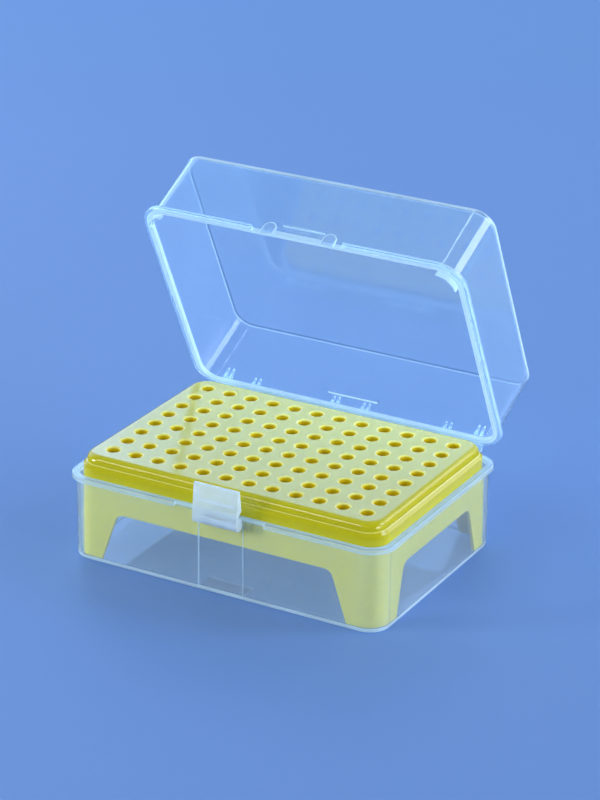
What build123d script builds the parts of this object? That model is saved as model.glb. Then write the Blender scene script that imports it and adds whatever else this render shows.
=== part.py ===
from build123d import *
import math
import os

os.makedirs("parts", exist_ok=True)

# Hinged box for a 96-place pipette tip rack, millimetres, +Z up.
# Origin: centre of the underside of the base box. -Y is the clasp side, +Y the lid hinge side.

# hole grid of the rack
tip_pitch = 9.0
columns = 12
rows = 8
hole_diameter = 4.5
hole_mouth_diameter = 5.5
hole_mouth_angle = 130     # across the shallow cone at a hole's mouth

# base box
wall_length = 121.6
wall_width = 86.0
wall_corner = 7.7
wall_thickness = 1.0
floor_thickness = 1.0
floor_edge_round = 0.7
base_height = 31.0
base_inner_length = wall_length - 2 * wall_thickness
base_inner_width = wall_width - 2 * wall_thickness
base_inner_corner = wall_corner - wall_thickness
root = 0.5               # how far arms, lugs and ribs run into the wall they stand on

# rim bead, the same on the base and on the lid
bead_height = 1.5
bead_out = 1.7
bead_round = 0.6
rim_length = wall_length + 2 * bead_out
rim_width = wall_width + 2 * bead_out
rim_corner = wall_corner + bead_out

# rack
rack_clearance = 0.3     # round the feet; the skirt tapers in from there
rack_taper = 0.9         # degrees
rack_wall = 1.2
rack_foot_length = base_inner_length - 2 * rack_clearance
rack_foot_width = base_inner_width - 2 * rack_clearance
rack_foot_corner = 8.0
ledge = 1.1              # step from the lower skirt in to the upper one
ledge_slope = 0.1
ledge_top = 35.1
ledge_roof = 2.6         # lower skirt's thickness under the ledge
rack_draw_in = (ledge_top - floor_thickness) * math.tan(math.radians(rack_taper))
upper_length = rack_foot_length - 2 * (rack_draw_in + ledge)
upper_width = rack_foot_width - 2 * (rack_draw_in + ledge)
upper_corner = rack_foot_corner - ledge
plate_top = 38.1
plate_thickness = 1.6
plate_round = 2.6
sleeve_length = 3.0
sleeve_wall = 1.0
sleeve_diameter = hole_diameter + 2 * sleeve_wall
window_top = 19.4
window_corner = 3.5
front_leg = 11.0         # width of a leg's foot seen from the front
end_leg = 12.0           # and from the end
front_window_lean = 6.8  # each side of a window leans in by this much up to its top
end_window_lean = 5.5

# lid, and the angle it stands open
lid_length = wall_length - 0.6
lid_width = wall_width
lid_corner = wall_corner
lid_depth = 29.6
lid_wall = 1.0
lid_edge_round = 0.8
lid_open_angle = 63.6
rim_gap = 0.15           # between the two rims when the lid is shut

# lid hinge: three knuckles on the base, six ears on the lid
hinge_out = 4.2          # axis behind the rear wall
hinge_rise = 0.4         # axis above the base's rim
hinge_inset = 8.1        # outer knuckles, in from where the wall's corners start
hinge_y = wall_width / 2 + hinge_out
hinge_z = base_height + hinge_rise
outer_knuckle = wall_length / 2 - wall_corner - hinge_inset
hinge_centres = (-outer_knuckle, 0, outer_knuckle)
knuckle_width = 8.8
knuckle_radius = 1.7
arm_height = 5.5
pin_radius = 0.9
pin_clearance = 0.15
ear_width = 2.8
ear_gap = 0.3            # between a knuckle and the ears beside it
ear_radius = 1.95
ear_offset = knuckle_width / 2 + ear_gap + ear_width / 2
pin_span = 2 * (ear_offset + ear_width / 2) + 1.0
gusset_thickness = 0.7
gusset_height = 6.1
outer_gusset_height = 8.1

# clasp and its pivot
clasp_width = 17.2
clasp_out = 2.1          # pivot in front of the front wall
clasp_drop = 2.6         # pivot below the base's rim
clasp_pivot_y = -(wall_width / 2 + clasp_out)
clasp_pivot_z = base_height - clasp_drop
clasp_barrel = 1.95
clasp_height = 12.7      # from the pivot to the top edge
clasp_top = clasp_pivot_z + clasp_height
clasp_face_out = 2.7     # top of the front face, in front of the wall
clasp_plate = 0.9
clasp_cheek = 1.5
clasp_pin_radius = 0.8
clasp_end_wall = 1.0
clasp_pin_gap = 0.3
clasp_bore_span = clasp_width - 2 * clasp_end_wall
clasp_pin_span = clasp_bore_span - 2 * clasp_pin_gap
lug_width = 1.4
lug_inset = 3.0
lug_offset = clasp_width / 2 - lug_inset
lug_radius = 1.15
lug_clearance = 0.3
block_rise = 2.0         # top of the block round the pivot
hook_gap = 0.65          # hook's tip in front of the wall

# catch on the lid's front wall, with a guide pad each side of the clasp
catch_height = 1.8
catch_out = 0.45
catch_panel_height = 3.7
catch_panel_out = 0.15
hook_clearance = 0.55    # between the catch bar and the hook's tip above it
pad_gap = 0.5
pad_width = 5.0
pad_height = 5.2
pad_out = 0.6
pad_centre = (clasp_width + pad_width) / 2 + pad_gap
catch_length = 2 * pad_centre
bead_end_gap = 3.5       # from a pad to the end of the bead
bead_gap = 2 * pad_centre + pad_width + 2 * bead_end_gap
hook_z = base_height + rim_gap + catch_height + hook_clearance

# shallow panel in the front wall under the clasp, and its foot on the floor
panel_width = clasp_width
panel_depth = 0.25
panel_foot_length = 7.0
panel_foot_height = 0.3

# stop ribs inside the lid's long walls, and its two corner tabs
front_stop_length = 15.4
rear_stop_length = 19.2
stop_rib_height = 5.7
stop_rib_thickness = 0.6
stop_rib_out = 0.5
stop_tick = 1.4
tab_reach = 1.9
tab_seat = 1.4           # tab's height up the inside of the lid
tab_thickness = 0.6
tab_clearance = 0.25


with BuildPart() as base_box:
    with BuildSketch(Plane.XY):
        RectangleRounded(wall_length, wall_width, wall_corner)
    extrude(amount=base_height)
    fillet(base_box.edges().group_by(Axis.Z)[0], radius=floor_edge_round)
    # rim bead round the top of the wall
    with BuildSketch(Plane.XY.offset(base_height - bead_height)):
        RectangleRounded(rim_length, rim_width, rim_corner)
    extrude(amount=bead_height)
    fillet(base_box.faces().sort_by(Axis.Z)[-1].outer_wire().edges(), radius=bead_round)
    with BuildSketch(Plane.XY.offset(floor_thickness)):
        RectangleRounded(base_inner_length, base_inner_width, base_inner_corner)
    extrude(amount=base_height, mode=Mode.SUBTRACT)
    # gap in the bead for the clasp
    with BuildSketch(Plane.XY.offset(base_height - bead_height - 0.5)):
        with Locations((0, -(wall_width / 2 + bead_out))):
            Rectangle(bead_gap, 2 * bead_out)
    extrude(amount=bead_height + 1, mode=Mode.SUBTRACT)
    # shallow panel below the clasp
    panel_height = base_height - bead_height - floor_edge_round
    with BuildSketch(Plane.XZ.offset(wall_width / 2)):
        with Locations((0, floor_edge_round + panel_height / 2)):
            Rectangle(panel_width, panel_height)
    extrude(amount=-panel_depth, mode=Mode.SUBTRACT)
    with BuildSketch(Plane.XY.offset(floor_thickness)):
        with Locations((0, -(base_inner_width - panel_foot_length) / 2)):
            Rectangle(panel_width, panel_foot_length)
    extrude(amount=panel_foot_height)
    # hinge knuckles, each with a pin through it
    arm_foot = wall_width / 2 - root
    knuckle_slant = knuckle_radius * math.sin(math.radians(45))
    for centre in hinge_centres:
        with BuildSketch(Plane.YZ.offset(centre - knuckle_width / 2)):
            with Locations((hinge_y, hinge_z)):
                Circle(knuckle_radius)
            with BuildLine():
                Polyline((arm_foot, base_height), (hinge_y, base_height),
                         (hinge_y + knuckle_slant, hinge_z - knuckle_slant),
                         (hinge_y, hinge_z - knuckle_radius),
                         (arm_foot, base_height - arm_height), close=True)
            make_face()
        extrude(amount=knuckle_width)
        with BuildSketch(Plane.YZ.offset(centre - pin_span / 2)):
            with Locations((hinge_y, hinge_z)):
                Circle(pin_radius)
        extrude(amount=pin_span)
    # two lugs and the pin that carries the clasp
    lug_foot = -(wall_width / 2 - root)
    lug_neck = lug_radius - 0.05
    for side in (-1, 1):
        with BuildSketch(Plane.YZ.offset(side * lug_offset - lug_width / 2)):
            with Locations((clasp_pivot_y, clasp_pivot_z)):
                Circle(lug_radius)
            with BuildLine():
                Polyline((lug_foot, clasp_pivot_z + clasp_pin_radius),
                         (clasp_pivot_y, clasp_pivot_z + lug_neck),
                         (clasp_pivot_y, clasp_pivot_z - lug_neck),
                         (lug_foot, clasp_pivot_z - clasp_pin_radius), close=True)
            make_face()
        extrude(amount=lug_width)
    with BuildSketch(Plane.YZ.offset(-clasp_pin_span / 2)):
        with Locations((clasp_pivot_y, clasp_pivot_z)):
            Circle(clasp_pin_radius)
    extrude(amount=clasp_pin_span)
base_box.part.label = "base_box"
export_step(base_box.part, "parts/base_box.step")


with BuildPart() as tip_rack:
    # lower skirt, standing on the floor of the base
    with BuildSketch(Plane.XY.offset(floor_thickness)):
        RectangleRounded(rack_foot_length, rack_foot_width, rack_foot_corner)
    extrude(amount=ledge_top - floor_thickness, taper=rack_taper)
    chamfer(tip_rack.edges().group_by(Axis.Z)[-1], length=ledge + ledge_slope, length2=ledge)
    # upper skirt and plate
    with BuildSketch(Plane.XY.offset(ledge_top - ledge_roof)):
        RectangleRounded(upper_length, upper_width, upper_corner)
    extrude(amount=plate_top - ledge_top + ledge_roof)
    fillet(tip_rack.edges().group_by(Axis.Z)[-1], radius=plate_round)
    # hollow underneath
    with BuildSketch(Plane.XY.offset(floor_thickness)):
        RectangleRounded(rack_foot_length - 2 * rack_wall, rack_foot_width - 2 * rack_wall,
                         rack_foot_corner - rack_wall)
    extrude(amount=ledge_top - ledge_roof - floor_thickness, taper=rack_taper, mode=Mode.SUBTRACT)
    with BuildSketch(Plane.XY.offset(floor_thickness)):
        RectangleRounded(upper_length - 2 * rack_wall, upper_width - 2 * rack_wall,
                         upper_corner - rack_wall)
    extrude(amount=plate_top - plate_thickness - floor_thickness, mode=Mode.SUBTRACT)
    # windows between the four legs
    front_foot = rack_foot_length / 2 - front_leg
    with BuildSketch(Plane.XZ) as front_window:
        with BuildLine():
            Polyline((-front_foot, 0), (front_window_lean - front_foot, window_top),
                     (front_foot - front_window_lean, window_top), (front_foot, 0), close=True)
        make_face()
        fillet(front_window.vertices().group_by(Axis.Y)[-1], radius=window_corner)
    extrude(amount=rack_foot_width, both=True, mode=Mode.SUBTRACT)
    end_foot = rack_foot_width / 2 - end_leg
    with BuildSketch(Plane.YZ) as end_window:
        with BuildLine():
            Polyline((-end_foot, 0), (end_window_lean - end_foot, window_top),
                     (end_foot - end_window_lean, window_top), (end_foot, 0), close=True)
        make_face()
        fillet(end_window.vertices().group_by(Axis.Y)[-1], radius=window_corner)
    extrude(amount=rack_foot_length, both=True, mode=Mode.SUBTRACT)
    # sleeves under the plate and the tip holes through them
    with BuildSketch(Plane.XY.offset(plate_top - plate_thickness - sleeve_length)):
        with GridLocations(tip_pitch, tip_pitch, columns, rows):
            Circle(sleeve_diameter / 2)
    extrude(amount=sleeve_length + plate_thickness / 2)
    with Locations(Plane.XY.offset(plate_top)):
        with GridLocations(tip_pitch, tip_pitch, columns, rows):
            CounterSinkHole(hole_diameter / 2, hole_mouth_diameter / 2,
                            depth=plate_thickness + sleeve_length + 1,
                            counter_sink_angle=hole_mouth_angle)
tip_rack.part.label = "tip_rack"
export_step(tip_rack.part, "parts/tip_rack.step")


# The lid stands open: its rim plane is turned about the hinge from the shut position.
open_sin = math.sin(math.radians(lid_open_angle))
open_cos = math.cos(math.radians(lid_open_angle))
shut_rise = base_height + rim_gap - hinge_z
lid_frame = Plane(
    origin=(0, hinge_y - hinge_y * open_cos + shut_rise * open_sin,
            hinge_z + hinge_y * open_sin + shut_rise * open_cos),
    x_dir=(1, 0, 0), z_dir=(0, open_sin, open_cos))
lid_up = Axis(lid_frame.origin, lid_frame.z_dir)


def lid_side(x):
    """Plane across the lid at x, with the lid's Y and Z as its own axes."""
    return Plane(origin=lid_frame.from_local_coords((x, 0, 0)),
                 x_dir=lid_frame.y_dir, z_dir=lid_frame.x_dir)


def lid_front(y):
    """Plane along the lid at y, facing its front."""
    return Plane(origin=lid_frame.from_local_coords((0, y, 0)),
                 x_dir=lid_frame.x_dir, z_dir=-lid_frame.y_dir)


with BuildPart() as lid:
    with BuildSketch(lid_frame):
        RectangleRounded(lid_length, lid_width, lid_corner)
    extrude(amount=lid_depth)
    fillet(lid.faces().sort_by(lid_up)[-1].edges(), radius=lid_edge_round)
    # rim bead, matching the base
    with BuildSketch(lid_frame):
        RectangleRounded(rim_length, rim_width, rim_corner)
    extrude(amount=bead_height)
    fillet(lid.faces().sort_by(lid_up)[0].outer_wire().edges(), radius=bead_round)
    with BuildSketch(lid_frame.offset(-bead_height / 2)):
        with Locations((0, -(lid_width / 2 + bead_out))):
            Rectangle(bead_gap, 2 * bead_out)
    extrude(amount=2 * bead_height, mode=Mode.SUBTRACT)
    # catch bar and the thin panel above it, with a rounded pad at each end
    for height, out in ((catch_height, catch_out), (catch_panel_height, catch_panel_out)):
        with BuildSketch(lid_front(-lid_width / 2)):
            with Locations((0, height / 2)):
                Rectangle(catch_length, height)
        extrude(amount=out)
    with BuildSketch(lid_front(-lid_width / 2)):
        for side in (-1, 1):
            with Locations((side * pad_centre, (pad_height - pad_width / 2) / 2)):
                Rectangle(pad_width, pad_height - pad_width / 2)
            with Locations((side * pad_centre, pad_height - pad_width / 2)):
                Circle(pad_width / 2)
    extrude(amount=pad_out)
    # ears that turn on the base's pins, each between two gussets up the rear wall
    axis_y = hinge_y
    axis_z = -shut_rise
    ear_foot = lid_width / 2 - root
    ear_web = axis_z + ear_radius + 0.2
    for centre in hinge_centres:
        for side in (-1, 1):
            ear_x = centre + side * ear_offset
            outermost = abs(ear_x) > outer_knuckle
            rib_top = outer_gusset_height if outermost else gusset_height
            with BuildSketch(lid_side(ear_x - ear_width / 2)):
                with Locations((axis_y, axis_z)):
                    Circle(ear_radius)
                with BuildLine():
                    Polyline((ear_foot, 0), (axis_y, 0), (axis_y, axis_z + ear_radius - 0.05),
                             (ear_foot, ear_web), close=True)
                make_face()
            extrude(amount=ear_width)
            for rib in (-1, 1):
                rib_x = ear_x + rib * (ear_width - gusset_thickness) / 2
                with BuildSketch(lid_side(rib_x - gusset_thickness / 2)):
                    with BuildLine():
                        Polyline((ear_foot, root), (axis_y - gusset_thickness, root),
                                 (ear_foot, rib_top), close=True)
                    make_face()
                extrude(amount=gusset_thickness)
    for centre in hinge_centres:
        with BuildSketch(lid_side(centre - pin_span / 2)):
            with Locations((axis_y, axis_z)):
                Circle(pin_radius + pin_clearance)
        extrude(amount=pin_span, mode=Mode.SUBTRACT)
    # inside of the lid
    with BuildSketch(lid_frame.offset(-tab_reach)):
        RectangleRounded(lid_length - 2 * lid_wall, lid_width - 2 * lid_wall,
                         lid_corner - lid_wall)
    extrude(amount=lid_depth - lid_wall + tab_reach, mode=Mode.SUBTRACT)
    # locating tabs that drop inside the base at the two front corners
    tab_length = base_inner_length - 2 * tab_clearance
    tab_width = base_inner_width - 2 * tab_clearance
    tab_corner = base_inner_corner - tab_clearance
    for bottom, height, grow in ((-tab_reach, tab_reach + tab_seat, 0), (0, tab_seat, root)):
        for side in (-1, 1):
            with BuildSketch(lid_frame.offset(bottom)):
                RectangleRounded(tab_length + 2 * grow, tab_width + 2 * grow, tab_corner + grow)
                RectangleRounded(tab_length - 2 * tab_thickness, tab_width - 2 * tab_thickness,
                                 tab_corner - tab_thickness, mode=Mode.SUBTRACT)
                with Locations((side * (tab_length / 2 + grow), -(tab_width / 2 + grow))):
                    Rectangle(2 * (tab_corner + grow), 2 * (tab_corner + grow), mode=Mode.INTERSECT)
            extrude(amount=height)
    # short stop rib inside each long wall
    for side, stop_length in ((-1, front_stop_length), (1, rear_stop_length)):
        with BuildSketch(lid_front(side * (lid_width / 2 - lid_wall))):
            with Locations((0, stop_rib_height)):
                Rectangle(stop_length, stop_rib_thickness)
            for end in (-1, 1):
                with Locations((end * (stop_length + stop_rib_thickness) / 2,
                                stop_rib_height + stop_tick / 3)):
                    Rectangle(stop_rib_thickness, stop_tick, rotation=-end * 30)
        extrude(amount=side * stop_rib_out)
lid.part.label = "lid"
export_step(lid.part, "parts/lid.step")


# The clasp's front face leans back from its foot to its top edge.
clasp_foot_y = clasp_pivot_y - clasp_barrel
clasp_back_y = clasp_pivot_y + clasp_barrel
clasp_face_y = -(wall_width / 2 + clasp_face_out)
clasp_lean = (clasp_face_y - clasp_foot_y) / clasp_height
hook_y = -(wall_width / 2 + hook_gap)
hook_back_y = clasp_pivot_y - root / 2
pocket_floor = hook_z + 1.2
pocket_top = clasp_top - clasp_plate

with BuildPart() as clasp:
    with BuildSketch(Plane.YZ.offset(-clasp_width / 2)):
        with BuildLine():
            Polyline((clasp_foot_y, clasp_pivot_z), (clasp_face_y, clasp_top),
                     (clasp_face_y + clasp_plate, clasp_top), (hook_y - 0.1, hook_z + 0.7),
                     (hook_y, hook_z), (hook_back_y, hook_z - 1.2), (hook_back_y, hook_z - 2.0),
                     (clasp_back_y - 0.1, clasp_pivot_z + block_rise), (clasp_back_y, clasp_pivot_z))
            ThreePointArc((clasp_back_y, clasp_pivot_z), (clasp_pivot_y, clasp_pivot_z - clasp_barrel),
                          (clasp_foot_y, clasp_pivot_z))
        make_face()
    extrude(amount=clasp_width)
    # pocket in the back between the two cheeks, above the hook
    pocket_width = clasp_width - 2 * clasp_cheek
    with BuildSketch(Plane.YZ.offset(-pocket_width / 2)):
        with BuildLine():
            Polyline((clasp_foot_y + clasp_plate + clasp_lean * (pocket_floor - clasp_pivot_z), pocket_floor),
                     (clasp_foot_y + clasp_plate + clasp_lean * (pocket_top - clasp_pivot_z), pocket_top),
                     (hook_y + clasp_out, pocket_top), (hook_y + clasp_out, pocket_floor), close=True)
        make_face()
    extrude(amount=pocket_width, mode=Mode.SUBTRACT)
    # bore for the pin and slots for the two lugs
    with BuildSketch(Plane.YZ.offset(-clasp_bore_span / 2)):
        with Locations((clasp_pivot_y, clasp_pivot_z)):
            Circle(clasp_pin_radius + pin_clearance)
    extrude(amount=clasp_bore_span, mode=Mode.SUBTRACT)
    slot_radius = lug_radius + lug_clearance
    slot_reach = 3 * clasp_barrel
    slot_width = lug_width + 2 * lug_clearance
    for side in (-1, 1):
        with BuildSketch(Plane.YZ.offset(side * lug_offset - slot_width / 2)):
            with Locations((clasp_pivot_y, clasp_pivot_z)):
                Circle(slot_radius)
            with Locations((clasp_pivot_y - slot_radius, clasp_pivot_z + slot_radius)):
                Rectangle(slot_reach, slot_reach, align=(Align.MIN, Align.MAX))
        extrude(amount=slot_width, mode=Mode.SUBTRACT)
clasp.part.label = "clasp"
export_step(clasp.part, "parts/clasp.step")
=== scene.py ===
import math
import bpy
from mathutils import Matrix, Vector

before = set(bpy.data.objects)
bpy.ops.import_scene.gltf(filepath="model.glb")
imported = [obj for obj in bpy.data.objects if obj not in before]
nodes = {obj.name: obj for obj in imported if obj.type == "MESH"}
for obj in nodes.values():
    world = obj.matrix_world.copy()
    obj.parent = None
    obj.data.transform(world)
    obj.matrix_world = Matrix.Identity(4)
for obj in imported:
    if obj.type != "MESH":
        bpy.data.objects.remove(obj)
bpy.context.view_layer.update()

print("frame loaded:", ", ".join(sorted(nodes)))


# camera

cameraSetup = {
    "spot": (0.45614, -0.80828, 0.45124),
    "turn": 29.0983,        # degrees round the box, from straight in front
    "height": 23.0784,      # degrees above the table
    "roll": 0.6993,         # degrees about its own line of sight
    "lens": 132.5,          # millimetres, as is the sensor
    "sensor": 36,
    "shift": (-0.000625, 0.000625),
    "clip": (0.05, 20),
}


def addCamera(setup):
    turn, height, roll = (math.radians(setup[k]) for k in ("turn", "height", "roll"))
    right = Vector((math.cos(turn), math.sin(turn), 0))
    back = Vector((math.sin(turn) * math.cos(height),
                   -math.cos(turn) * math.cos(height),
                   math.sin(height)))
    up = back.cross(right)
    side = right * math.cos(roll) + up * math.sin(roll)
    top = up * math.cos(roll) - right * math.sin(roll)
    facing = Matrix((side, top, back)).transposed().to_4x4()
    camera = bpy.data.objects.new("camera", bpy.data.cameras.new("camera"))
    bpy.context.scene.collection.objects.link(camera)
    camera.matrix_world = Matrix.Translation(setup["spot"]) @ facing
    camera.data.lens = setup["lens"]
    camera.data.sensor_width = setup["sensor"]
    camera.data.shift_x, camera.data.shift_y = setup["shift"]
    camera.data.clip_start, camera.data.clip_end = setup["clip"]
    bpy.context.scene.camera = camera


addCamera(cameraSetup)
print("camera set")


# nodes that the materials share

noiseSpread = (0.3, 0.7)    # nearly all of a noise texture's values lie between these


def feed(tree, socket, given):
    # a number or colour is set on the socket, an output is wired to it
    if isinstance(given, (int, float, tuple)):
        socket.default_value = given
    else:
        tree.links.new(given, socket)


def newMaterial(name):
    material = bpy.data.materials.new(name)
    material.use_nodes = True
    tree = material.node_tree
    tree.nodes.clear()
    shader = tree.nodes.new("ShaderNodeBsdfPrincipled")
    place = tree.nodes.new("ShaderNodeTexCoord")
    return material, tree, shader, place.outputs["Object"]


def endWith(tree, shader, kind="ShaderNodeOutputMaterial"):
    output = tree.nodes.new(kind)
    tree.links.new(shader.outputs[0], output.inputs[0])


def calc(tree, operation, *given):
    node = tree.nodes.new("ShaderNodeMath")
    node.operation = operation
    for socket, part in zip(node.inputs, given):
        feed(tree, socket, part)
    return node.outputs[0]


def times(tree, product, *others):
    for other in others:
        product = calc(tree, "MULTIPLY", product, other)
    return product


def reach(tree, across, along):
    # how far away a point is that lies across and along from here
    squares = [times(tree, side, side) for side in (across, along)]
    return calc(tree, "SQRT", calc(tree, "ADD", *squares))


def remap(tree, given, low, high, fromLow, fromHigh):
    node = tree.nodes.new("ShaderNodeMapRange")
    node.inputs["From Min"].default_value = fromLow
    node.inputs["From Max"].default_value = fromHigh
    node.inputs["To Min"].default_value = low
    node.inputs["To Max"].default_value = high
    tree.links.new(given, node.inputs["Value"])
    return node.outputs["Result"]


def band(tree, given, off, on):
    # 0 at off and beyond it, 1 at on and beyond it
    if off < on:
        return remap(tree, given, 0, 1, off, on)
    return remap(tree, given, 1, 0, on, off)


def between(tree, given, low, lowFull, highFull, high):
    # 1 from lowFull to highFull, and 0 outside low and high
    return times(tree, band(tree, given, low, lowFull), band(tree, given, high, highFull))


def noise(tree, place, scale, detail):
    node = tree.nodes.new("ShaderNodeTexNoise")
    node.inputs["Scale"].default_value = scale
    node.inputs["Detail"].default_value = detail
    tree.links.new(place, node.inputs["Vector"])
    return node.outputs["Fac"]


def varied(tree, place, grain, limits):
    # wanders between the limits, grain is the noise's scale and detail
    return remap(tree, noise(tree, place, *grain), *limits, *noiseSpread)


def addBumps(tree, shader, place, grain, depth):
    node = tree.nodes.new("ShaderNodeBump")
    node.inputs["Distance"].default_value = depth
    tree.links.new(noise(tree, place, *grain), node.inputs["Height"])
    tree.links.new(node.outputs["Normal"], shader.inputs["Normal"])


def apart(tree, place):
    node = tree.nodes.new("ShaderNodeSeparateXYZ")
    tree.links.new(place, node.inputs[0])
    return tuple(node.outputs)


def insideEdge(tree, x, y, wall):
    # distance out from the wall's rounded outline: negative inside it, 0 on it
    halfLength, halfWidth, corner = wall
    beyond = []
    for spot, half in ((x, halfLength), (y, halfWidth)):
        past = calc(tree, "SUBTRACT", calc(tree, "ABSOLUTE", spot), half - corner)
        beyond.append(calc(tree, "MAXIMUM", past, 0))
    return calc(tree, "SUBTRACT", reach(tree, *beyond), corner)


def mixed(tree, share, first, second):
    mix = tree.nodes.new("ShaderNodeMixShader")
    feed(tree, mix.inputs[0], share)
    tree.links.new(first.outputs[0], mix.inputs[1])
    tree.links.new(second.outputs[0], mix.inputs[2])
    return mix


def blendColour(tree, share, first, second):
    mix = tree.nodes.new("ShaderNodeMix")
    mix.data_type = "RGBA"
    feed(tree, mix.inputs[0], share)
    feed(tree, mix.inputs[6], first)      # inputs 6 and 7 are the two colours
    feed(tree, mix.inputs[7], second)
    return mix.outputs[2]


# milk, in the clear plastic and in the clasp

milkSetup = {
    "roughness": 0.15,
    "fromBehind": 0.35,                     # share of it that is lit from its far side
    "edgeShare": (0.2, 0.7),                # share of edgeMilk in it, at no haze and at full haze
}


def milky(tree, clear, haze, setup):
    # mixes in milk that is lit from both sides, and lets the lamps shine through
    edgeShare = remap(tree, haze, 0, 1, *milkSetup["edgeShare"])
    tint = blendColour(tree, edgeShare, setup["milk"], setup["edgeMilk"])
    front = tree.nodes.new("ShaderNodeBsdfPrincipled")
    tree.links.new(tint, front.inputs["Base Color"])
    front.inputs["Roughness"].default_value = milkSetup["roughness"]
    back = tree.nodes.new("ShaderNodeBsdfTranslucent")
    tree.links.new(tint, back.inputs["Color"])
    body = mixed(tree, haze, clear, mixed(tree, milkSetup["fromBehind"], front, back))
    rays = tree.nodes.new("ShaderNodeLightPath")
    through = tree.nodes.new("ShaderNodeBsdfTransparent")
    through.inputs["Color"].default_value = setup["shade"]
    return mixed(tree, rays.outputs["Is Shadow Ray"], body, through)


# clear plastic of the base and the lid
# names with Edge are distances out from the wall's outer face, and names with Up are heights
# over the base's underside or the lid's rim, all in metres

clearSetup = {
    "colour": (0.93, 0.97, 1.0, 1),
    "milk": (0.44, 0.70, 1.0, 1),
    # haze where it is thick, partly real milkiness and partly painted light for the glow that thick
    # edges catch
    "edgeMilk": (0.66, 0.88, 1.0, 1),
    "shade": (0.86, 0.89, 0.93, 1),         # what is left of a lamp's light that comes through
    "ior": 1.49,
    "roughness": (0.02, 0.06),
    "roughGrain": (60, 4),
    "cloud": (0.9, 1.1),                    # how much the haze varies
    "cloudGrain": (45, 3),
    "bumpGrain": (40, 1),
    "bumpDepth": 0.00001,
    "seamShade": (0.24, 0.33, 0.45, 1),          # painted shade: a dark line where the inside walls meet the closed panel, for the dark that the rounded inner corner bends in
    "seamShadeEdge": (-0.0019, -0.0014, -0.0008, -0.0005),
    "cornerEdge": (-0.0009, -0.0005),
    "straightOn": 0.1,                      # share of a corner's haze where it is seen straight on
    "innerEdge": (-0.0014, -0.0019),
    "lipEdge": (-0.0016, -0.0012, 0.0002, 0.0006),
    "proudEdge": (0.00001, 0.00003, 0.0004, 0.0005),
    "plainPanel": (0.00015, 0.00001),       # a panel just this far out stays clear, and the slack
    "padEdge": (0.00046, 0.0005, 0.0007, 0.0008),
    "outerEdge": (0.0001, 0.0004),
    "earEdge": (0.0008, 0.0012),
    "earUp": (0.0016, 0.0022),
}

baseSetup = {
    **clearSetup,
    "milk": (0.6, 0.78, 0.92, 1),
    "wall": (0.0608, 0.043, 0.0077),        # half length, half width, corner radius
    "cornerUp": (0.0019, 0.0015),
    "rimUp": (0.029, 0.030),
    "innerUp": (0.0022, 0.0032),
    "seamShadeUp": (0.0003, 0.0006, 0.0015, 0.0018),
    "slant": (0.0, 0.1),                    # seen how slanted a corner's haze begins and is full
    "hazes": {"wall": 0.17, "rim": 0.32, "lip": 0.7, "corner": 0.9, "proud": 0.8, "ears": 0.45,
              "pad": 0.5, "outer": 0.45, "inner": 0.5, "panel": 0.52},
    "panel": {                              # painted light: hazed lines round the shallow panel in the front wall, for the light caught along its edges
        "halfWidth": 0.0086,
        "top": 0.0294,
        "foot": -0.0351,                    # where its foot on the floor ends, behind the wall
        "footTop": 0.0017,
        "line": 0.00015,                    # half the width of its side lines
        "footLine": 0.00045,
    },
}

lidSetup = {
    **clearSetup,
    "wall": (0.0605, 0.043, 0.0077),
    "cornerUp": (0.0278, 0.0281),
    "rimUp": (0.0022, 0.0014),
    "innerUp": (0.0280, 0.0270),
    "seamShadeUp": (0.0282, 0.0285, 0.0288, 0.0291),
    "slant": (0.18, 0.28),
    "hazes": {"wall": 0.1, "rim": 0.26, "lip": 0.8, "corner": 0.95, "proud": 0.95, "ears": 0.9,
              "pad": 0.35, "outer": 0.3, "inner": 0.3, "ring": 0.95, "rib": 0.9, "gleam": 0.45},
    "pads": {                               # round tops of the two pads beside the clasp
        "middle": 0.0116,
        "up": 0.0027,
        "ring": (0.0019, 0.0021),
        "edge": (0.0003, 0.0004, 0.0007, 0.0008),
    },
    "rib": {"edge": (-0.0016, -0.00155, -0.0011, -0.00106), "up": (0.0048, 0.0050, 0.0058, 0.0060)},
    "gleam": {"edge": (-0.0013, -0.0011, -0.0008, -0.0005), "up": (0.0274, 0.0278, 0.0283, 0.0285)},
}

hingeSetup = {
    "spot": (0, 0.0472, 0.0314),
    "open": 63.6,                           # degrees from shut
    "rimRise": -0.00025,                    # the shut lid's rim, over the hinge
}


def lidFrame(setup):
    # place and turn of the open lid's own frame, whose height 0 is its rim
    x, y, z = setup["spot"]
    turn = math.radians(setup["open"])
    spot = (x, y - y * math.cos(turn) + setup["rimRise"] * math.sin(turn),
            z + y * math.sin(turn) + setup["rimRise"] * math.cos(turn))
    return spot, -turn


def padHighlightRing(tree, x, y, up, edge, pads):
    # painted highlight: a bright line round each pad
    beside = calc(tree, "SUBTRACT", calc(tree, "ABSOLUTE", x), pads["middle"])
    above = calc(tree, "MAXIMUM", calc(tree, "SUBTRACT", up, pads["up"]), 0)
    return times(tree, band(tree, reach(tree, beside, above), *pads["ring"]),
                 between(tree, edge, *pads["edge"]),
                 calc(tree, "LESS_THAN", y, 0))


def panelLines(tree, x, y, up, panel):
    # painted light on the panel's two upright edges, and on the end of its foot on the floor
    across = calc(tree, "ABSOLUTE", x)
    sides = times(tree, calc(tree, "COMPARE", across, panel["halfWidth"], panel["line"]),
                  calc(tree, "LESS_THAN", y, panel["foot"] + panel["line"]),
                  calc(tree, "LESS_THAN", up, panel["top"]))
    end = times(tree, calc(tree, "COMPARE", y, panel["foot"], panel["footLine"]),
                calc(tree, "LESS_THAN", across, panel["halfWidth"]),
                calc(tree, "LESS_THAN", up, panel["footTop"]))
    return calc(tree, "MAXIMUM", sides, end)


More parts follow.
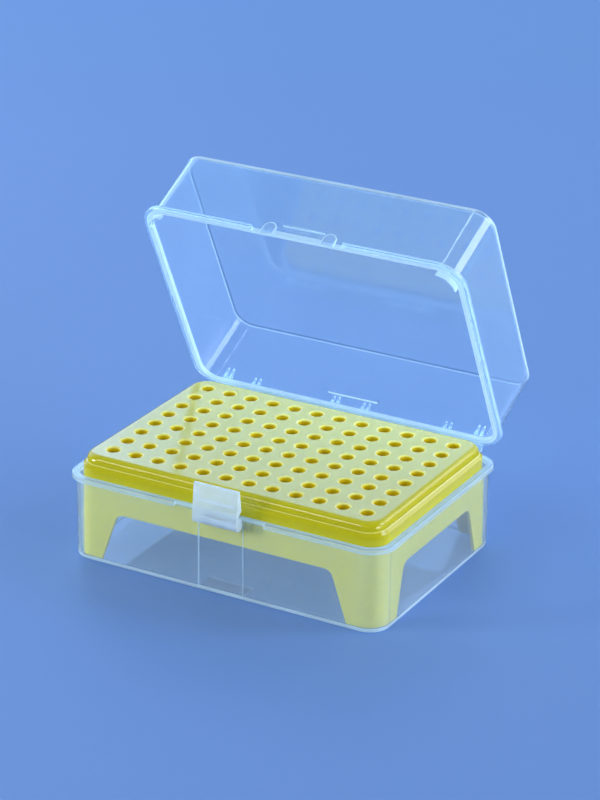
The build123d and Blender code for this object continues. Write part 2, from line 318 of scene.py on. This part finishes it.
def clearMasks(tree, local, setup):
    # where each of the hazes goes, and where the painted shade of the dark seam is
    x, y, up = apart(tree, local)
    edge = insideEdge(tree, x, y, setup["wall"])
    facing = tree.nodes.new("ShaderNodeLayerWeight").outputs["Facing"]
    slant = remap(tree, facing, setup["straightOn"], 1, *setup["slant"])
    rim = band(tree, up, *setup["rimUp"])
    plain = calc(tree, "COMPARE", edge, *setup["plainPanel"])
    masks = {
        "rim": rim,                                                     # all round the opening
        "lip": times(tree, rim, between(tree, edge, *setup["lipEdge"])),
        "corner": times(tree, band(tree, up, *setup["cornerUp"]),       # closed panel's outer edge, partly real haze and partly painted light: a bright outline for the light caught in the edge
                        band(tree, edge, *setup["cornerEdge"]), slant),
        "inner": times(tree, band(tree, edge, *setup["innerEdge"]),     # what stands in from the walls
                       band(tree, up, *setup["innerUp"])),
        "outer": band(tree, edge, *setup["outerEdge"]),                 # all that stands out
        "proud": times(tree, between(tree, edge, *setup["proudEdge"]),  # just out of the wall
                       calc(tree, "SUBTRACT", 1, plain)),
        "pad": between(tree, edge, *setup["padEdge"]),
        "ears": times(tree, band(tree, edge, *setup["earEdge"]),        # at the hinge
                      band(tree, up, *setup["earUp"])),
    }
    if "panel" in setup:
        masks["panel"] = panelLines(tree, x, y, up, setup["panel"])
    if "pads" in setup:
        masks["ring"] = padHighlightRing(tree, x, y, up, edge, setup["pads"])
    for name in ("rib", "gleam"):
        if name in setup:
            masks[name] = times(tree, between(tree, edge, *setup[name]["edge"]),
                                between(tree, up, *setup[name]["up"]))
    seamShade = times(tree, between(tree, up, *setup["seamShadeUp"]), between(tree, edge, *setup["seamShadeEdge"]))
    return masks, seamShade


def clearPlastic(name, setup, spot=(0, 0, 0), turn=0):
    material, tree, shader, place = newMaterial(name)
    shader.inputs["IOR"].default_value = setup["ior"]
    shader.inputs["Transmission Weight"].default_value = 1
    move = tree.nodes.new("ShaderNodeMapping")
    move.vector_type = "TEXTURE"
    move.inputs["Location"].default_value = spot
    move.inputs["Rotation"].default_value = (turn, 0, 0)
    tree.links.new(place, move.inputs["Vector"])
    local = move.outputs["Vector"]
    masks, seamShade = clearMasks(tree, local, setup)
    # the hazes past the wall's own are partly real milkiness and partly painted light: they whiten
    # rims, lips, edges, pads and ears as the light caught and carried in them does
    haze = setup["hazes"]["wall"]
    for part, mask in masks.items():
        haze = calc(tree, "MAXIMUM", haze, times(tree, mask, setup["hazes"][part]))
    haze = times(tree, haze, varied(tree, local, setup["cloudGrain"], setup["cloud"]))
    # painted shade: the base colour turns dark along the seam
    colour = blendColour(tree, seamShade, setup["colour"], setup["seamShade"])
    tree.links.new(colour, shader.inputs["Base Color"])
    rough = varied(tree, local, setup["roughGrain"], setup["roughness"])
    tree.links.new(rough, shader.inputs["Roughness"])
    addBumps(tree, shader, local, setup["bumpGrain"], setup["bumpDepth"])
    endWith(tree, milky(tree, shader, haze, setup))
    return material


# yellow plastic of the rack

rackSetup = {
    "colour": (0.592, 0.55, 0.009, 1),
    "holeShade": (0.84, 0.65, 0.01, 1),          # painted shade: warmer inside the holes, the orange that light turns as it bounces between their yellow walls
    "lip": (0.88, 0.82, 0.17, 1),           # painted highlight: a paler ring at each hole's mouth, where its bevel catches the light
    "ledgeHighlight": (0.80, 0.77, 0.15, 1),         # painted highlight: a lighter line along the ledge's edge
    "ledgeHighlightUp": (0.03478, 0.03490, 0.03512, 0.03516),
    "ior": 1.5,
    "roughness": (0.1, 0.17),
    "roughGrain": (300, 4),
    "lipRoughness": 0.5,
    "glow": 0.5,                            # share of light that spreads inside the plastic
    "spread": (1.0, 0.95, 0.12),            # how far, by red, green and blue, times the depth
    "depth": 0.0022,
    "bumpGrain": (120, 3),
    "bumpDepth": 0.00002,
    "pitch": 0.009,                         # metres from hole to hole
    "holeRadius": 0.0024,
    "lipRadii": (0.0020, 0.0022, 0.0027, 0.0030),
    "lipUp": (0.0374, 0.0377),
    "grid": (0.0530, 0.0350),               # half length and half width of the holes' field
}


def yellowPlastic(setup):
    material, tree, shader, place = newMaterial("yellowPlastic")
    shader.inputs["IOR"].default_value = setup["ior"]
    shader.inputs["Subsurface Weight"].default_value = setup["glow"]
    shader.inputs["Subsurface Radius"].default_value = setup["spread"]
    shader.inputs["Subsurface Scale"].default_value = setup["depth"]
    x, y, up = apart(tree, place)
    pitch = setup["pitch"]
    offsets, within = [], []
    for spot, most in zip((x, y), setup["grid"]):
        offset = calc(tree, "FLOORED_MODULO", spot, pitch)
        offsets.append(calc(tree, "SUBTRACT", offset, pitch / 2))
        within.append(calc(tree, "LESS_THAN", calc(tree, "ABSOLUTE", spot), most))
    fromHole = reach(tree, *offsets)
    grid = times(tree, *within)
    lip = times(tree, between(tree, fromHole, *setup["lipRadii"]), grid,
                band(tree, up, *setup["lipUp"]))
    inside = times(tree, calc(tree, "LESS_THAN", fromHole, setup["holeRadius"]),
                   calc(tree, "SUBTRACT", grid, lip))
    ledgeHighlight = times(tree, between(tree, up, *setup["ledgeHighlightUp"]), calc(tree, "SUBTRACT", 1, grid))
    colour = setup["colour"]
    for share, name in ((inside, "holeShade"), (ledgeHighlight, "ledgeHighlight"), (lip, "lip")):
        colour = blendColour(tree, share, colour, setup[name])
    tree.links.new(colour, shader.inputs["Base Color"])
    rough = varied(tree, place, setup["roughGrain"], setup["roughness"])
    rough = calc(tree, "MAXIMUM", rough, times(tree, lip, setup["lipRoughness"]))
    tree.links.new(rough, shader.inputs["Roughness"])
    addBumps(tree, shader, place, setup["bumpGrain"], setup["bumpDepth"])
    endWith(tree, shader)
    return material


# frosted plastic of the clasp

claspSetup = {
    "colour": (0.90, 0.97, 1.0, 1),
    "milk": (0.82, 0.93, 0.99, 1),
    "edgeMilk": (0.86, 0.97, 1.0, 1),
    "shade": (0.5, 0.52, 0.55, 1),
    "ior": 1.49,
    "haze": (0.42, 0.5),
    "hazeGrain": (150, 3),
    "roughness": (0.1, 0.16),
    "roughGrain": (200, 4),
}


def frostedPlastic(setup):
    material, tree, shader, place = newMaterial("frostedPlastic")
    shader.inputs["Base Color"].default_value = setup["colour"]
    shader.inputs["Transmission Weight"].default_value = 1
    shader.inputs["IOR"].default_value = setup["ior"]
    rough = varied(tree, place, setup["roughGrain"], setup["roughness"])
    tree.links.new(rough, shader.inputs["Roughness"])
    haze = varied(tree, place, setup["hazeGrain"], setup["haze"])
    endWith(tree, milky(tree, shader, haze, setup))
    return material


finishes = {
    "base_box": clearPlastic("clearBase", baseSetup),
    "lid": clearPlastic("clearLid", lidSetup, *lidFrame(hingeSetup)),
    "tip_rack": yellowPlastic(rackSetup),
    "clasp": frostedPlastic(claspSetup),
}
for piece, finish in finishes.items():
    slots = nodes[piece].data.materials
    slots.clear()
    slots.append(finish)
print("materials set")


# floor, backdrop and lights

roomSetup = {
    "size": 60,                             # metres across the floor
    "floor": (0.145, 0.295, 0.62, 1),
    "roughness": 0.6,
    "shaded": (0.08, 0.145, 0.235, 1),      # the floor under the box, through its clear walls
    "underBox": (0.002, -0.001),            # past the box's wall, where that begins and is full
    "mirrored": (0.03, 0.055, 0.10, 1),     # the floor as gloss mirrors it
    "backdrop": (0.145, 0.335, 0.73, 1),    # what is seen round the box, far away
    "fade": (0.45, 1.3),                    # where the floor turns into the backdrop
    "dark": (0.03, 0.06, 0.13, 1),          # the room away from the backdrop, for gloss and glass
    "backdropWay": (-0.5, 0.86, 0.0),       # from the box to the backdrop
    "backdropSpread": (-0.1, 0.6),          # how far round the room it begins and is full, as a cosine
    "light": (0.8, 0.88, 1, 1),             # the room's own soft light
    "lightLevel": 0.14,
}

lampSetup = {
    "aim": (0, 0, 0.04),
    "cards": ("backLamp",),                 # seen in gloss and glass, but lights nothing
    "lamps": {                              # direction, distance, width and height, power, colour
        "backLamp": ((-0.456, 0.808, 0.43), 1.7, (1.3, 0.8), 11.0, (0.32, 0.53, 0.92)),
        "backRightLamp": ((0.35, 0.85, 0.38), 1.7, (0.9, 0.5), 4.0, (0.95, 0.98, 1.0)),
        "rightLamp": ((0.72, 0.42, 0.52), 1.5, (0.42, 0.75), 8.0, (0.6, 0.69, 1.0)),
        "leftLamp": ((-0.76, 0.42, 0.42), 1.5, (1.3, 1.0), 7.0, (0.45, 0.6, 1.0)),
        "topLamp": ((-0.15, 0.21, 0.97), 1.5, (0.06, 0.8), 1.3, (0.85, 1.0, 1.0)),
        "skyLamp": ((-0.35, -0.72, 0.60), 1.5, (0.9, 0.27), 6.4, (0.8, 0.86, 1.0)),
        "keyLamp": ((0.97, -0.12, 0.20), 1.5, (0.8, 0.7), 13.8, (1, 1, 1)),
        "fillLamp": ((-0.80, -0.58, 0.20), 1.6, (0.45, 0.45), 13.2, (1, 1, 1)),
    },
}


def seenRays(tree, rays):
    # rays straight from the camera, or by way of glass or gloss
    seen = calc(tree, "MAXIMUM", rays["Is Camera Ray"], rays["Is Transmission Ray"])
    return calc(tree, "MAXIMUM", seen, rays["Is Glossy Ray"])


def addFloor(setup, wall):
    bpy.ops.object.select_all(action="DESELECT")
    bpy.ops.mesh.primitive_plane_add(size=setup["size"], location=(0, 0, 0))
    floor = bpy.context.object
    floor.name = "floor"
    material, tree, shader, place = newMaterial("floorPaint")
    shader.inputs["Roughness"].default_value = setup["roughness"]
    rays = tree.nodes.new("ShaderNodeLightPath").outputs
    through = rays["Is Transmission Ray"]
    # a ray through glass counts as glossy too, and is not a mirrored one
    mirrored = times(tree, rays["Is Glossy Ray"], calc(tree, "SUBTRACT", 1, through))
    x, y = apart(tree, place)[:2]
    edge = insideEdge(tree, x, y, wall)
    under = times(tree, through, band(tree, edge, *setup["underBox"]))
    paint = blendColour(tree, under, setup["floor"], setup["shaded"])
    paint = blendColour(tree, mirrored, paint, setup["mirrored"])
    tree.links.new(paint, shader.inputs["Base Color"])
    far = tree.nodes.new("ShaderNodeEmission")
    far.inputs["Color"].default_value = setup["backdrop"]
    share = times(tree, seenRays(tree, rays), band(tree, reach(tree, x, y), *setup["fade"]))
    endWith(tree, mixed(tree, share, shader, far))
    floor.data.materials.append(material)


def addWorld(setup):
    world = bpy.data.worlds.new("room")
    bpy.context.scene.world = world
    world.use_nodes = True
    tree = world.node_tree
    tree.nodes.clear()
    place = tree.nodes.new("ShaderNodeTexCoord")
    toward = tree.nodes.new("ShaderNodeVectorMath")
    toward.operation = "DOT_PRODUCT"
    toward.inputs[1].default_value = setup["backdropWay"]
    tree.links.new(place.outputs["Generated"], toward.inputs[0])
    bright = band(tree, toward.outputs["Value"], *setup["backdropSpread"])
    room = blendColour(tree, bright, setup["dark"], setup["backdrop"])
    parts = []
    for colour, strength in ((setup["light"], setup["lightLevel"]), (room, 1), (setup["backdrop"], 1)):
        part = tree.nodes.new("ShaderNodeBackground")
        part.inputs["Strength"].default_value = strength
        feed(tree, part.inputs["Color"], colour)
        parts.append(part)
    light, reflected, seen = parts
    rays = tree.nodes.new("ShaderNodeLightPath").outputs
    indirect = mixed(tree, seenRays(tree, rays), light, reflected)
    whole = mixed(tree, rays["Is Camera Ray"], indirect, seen)
    endWith(tree, whole, "ShaderNodeOutputWorld")


def addLamps(setup):
    aim = Vector(setup["aim"])
    for name, (way, distance, size, power, colour) in setup["lamps"].items():
        light = bpy.data.lights.new(name, "AREA")
        light.shape = "RECTANGLE"
        light.size, light.size_y = size
        light.energy = power
        light.color = colour
        lamp = bpy.data.objects.new(name, light)
        bpy.context.scene.collection.objects.link(lamp)
        lamp.location = Vector(way).normalized() * distance
        lamp.rotation_euler = (aim - lamp.location).to_track_quat("-Z", "Y").to_euler()
        lamp.visible_diffuse = name not in setup["cards"]


addFloor(roomSetup, baseSetup["wall"])
addWorld(roomSetup)
addLamps(lampSetup)
bpy.context.scene.view_settings.view_transform = "Standard"
print("floor and lights set")
